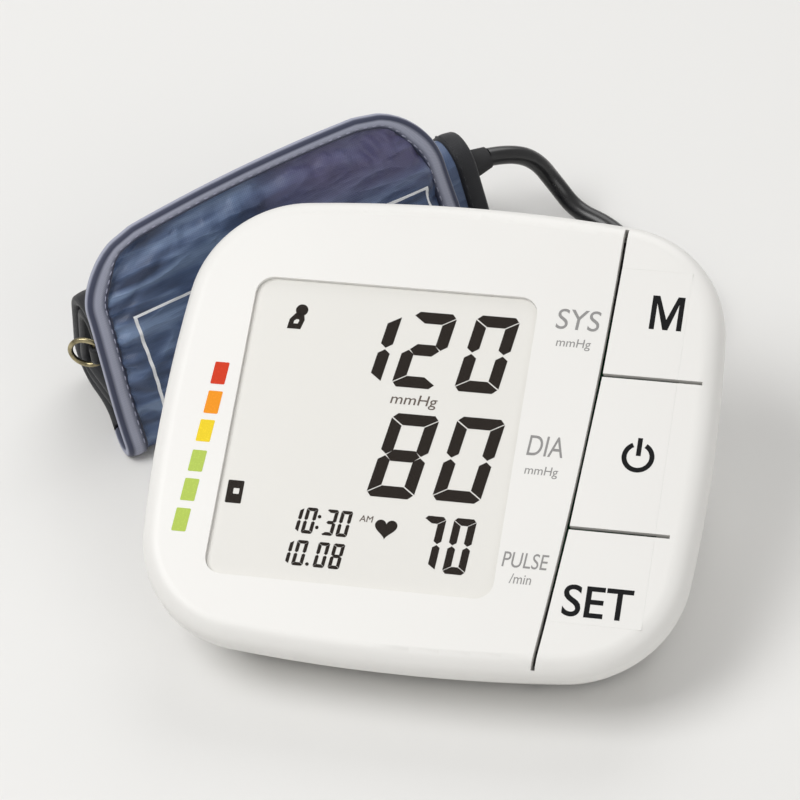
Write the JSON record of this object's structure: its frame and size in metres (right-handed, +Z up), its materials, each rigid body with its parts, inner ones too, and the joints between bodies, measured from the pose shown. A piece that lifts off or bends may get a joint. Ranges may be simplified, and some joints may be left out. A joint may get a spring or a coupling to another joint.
{
  "type": "upper-arm blood pressure monitor",
  "caption": "Tabletop upper-arm blood pressure monitor: a white wedge-shaped unit with a tilted display and flush keys, a rolled navy wrap cuff behind it and an air hose between them.",
  "frame": {"origin": "bottom centre of the whole set's bounding box, on the table, with the unit in front and its cuff behind its left rear corner", "axes": "+Z up; +X to the unit's right as its user sees the display; +Y away from the user, along the air plug's way out of its socket"},
  "size_m": [0.1774, 0.1853, 0.065],
  "materials": {
    "white_shell": "satin",
    "key_white": "satin",
    "display_clear": "gloss",
    "lcd_grey": "satin",
    "black_plastic": "satin",
    "black_rubber": "matte",
    "grey_rubber": "matte",
    "navy_fabric": "woven",
    "piping_fabric": "woven",
    "hook_fabric": "hook pile",
    "brass_wire": "satin",
    "board_green": "satin",
    "spring_steel": "satin",
    "screw_steel": "satin",
    "contact_nickel": "satin",
    "cell_jacket": "satin",
    "motor_steel": "satin",
    "clear_tube": "satin",
    "grey_plastic": "satin"
  },
  "bodies": {
    "unit": {"air_manifold": "grey_plastic", "air_pump_head": "black_plastic", "air_pump_motor": "motor_steel", "air_socket": "black_plastic", "battery_cell_1": "cell_jacket", "battery_cell_2": "cell_jacket", "battery_cell_3": "cell_jacket", "battery_cell_4": "cell_jacket", "battery_contacts": "contact_nickel", "battery_springs": "spring_steel", "board_screws": "screw_steel", "buzzer": "black_plastic", "dc_socket": "black_plastic", "display_window": "display_clear", "foot_1": "black_rubber", "foot_2": "black_rubber", "foot_3": "black_rubber", "foot_4": "black_rubber", "front_housing": "white_shell", "housing_screws": "screw_steel", "inner_tubes": "clear_tube", "key_switches": "black_plastic", "lcd_connectors": "grey_rubber", "lcd_holder": "black_plastic", "lcd_panel": "lcd_grey", "main_board": "board_green", "pressure_sensor": "grey_plastic", "processor_chip": "black_plastic", "pump_cradle": "grey_rubber", "rear_housing": "white_shell", "release_valve": "grey_plastic"},
    "memory_key": {"key_memory": "key_white"},
    "power_key": {"key_power": "key_white"},
    "set_key": {"key_set": "key_white"},
    "battery_cover": {"battery_door": "white_shell"},
    "cuff_set": {"air_bladder": "black_rubber", "air_hose_coil": "black_rubber", "air_hose_run": "black_rubber", "air_hose_tail": "black_rubber", "air_plug": "black_plastic", "cuff_flap": "navy_fabric", "cuff_inner_wrap": "navy_fabric", "cuff_outer_wrap": "navy_fabric", "flap_binding": "piping_fabric", "hook_patch": "hook_fabric", "hose_grommet": "black_rubber", "ring_loop": "navy_fabric"},
    "strap_ring": {"cuff_ring": "brass_wire"}
  },
  "joints": [
    {"name": "memory_key_press", "type": "hinge", "parent": "unit", "child": "memory_key", "pos_m": [0.07823, -0.00474, 0.05405], "axis": [0, -0.9272, -0.3746], "range_deg": [0, 2.2], "stiffness_Nm_per_rad": 0.6, "springref_deg": -0.57},
    {"name": "power_key_press", "type": "hinge", "parent": "unit", "child": "power_key", "pos_m": [0.07823, -0.03657, 0.04119], "axis": [0, -0.9272, -0.3746], "range_deg": [0, 2.2], "stiffness_Nm_per_rad": 0.6, "springref_deg": -0.57},
    {"name": "set_key_press", "type": "hinge", "parent": "unit", "child": "set_key", "pos_m": [0.07823, -0.06621, 0.02921], "axis": [0, -0.9272, -0.3746], "range_deg": [0, 2.2], "stiffness_Nm_per_rad": 0.6, "springref_deg": -0.57},
    {"name": "battery_door_swing", "type": "hinge", "parent": "unit", "child": "battery_cover", "pos_m": [0.01875, -0.05926, 0.002], "axis": [-1, 0, 0], "range_deg": [0, 75]},
    {"name": "air_plug_pull", "type": "slide", "parent": "unit", "child": "cuff_set", "axis": [0, 1, 0], "range_m": [0, 0.025]},
    {"name": "strap_ring_swing", "type": "hinge", "parent": "cuff_set", "child": "strap_ring", "pos_m": [-0.07623, -0.00193, 0.025], "axis": [0, 0, 1], "range_deg": [-40, 100]}
  ]
}
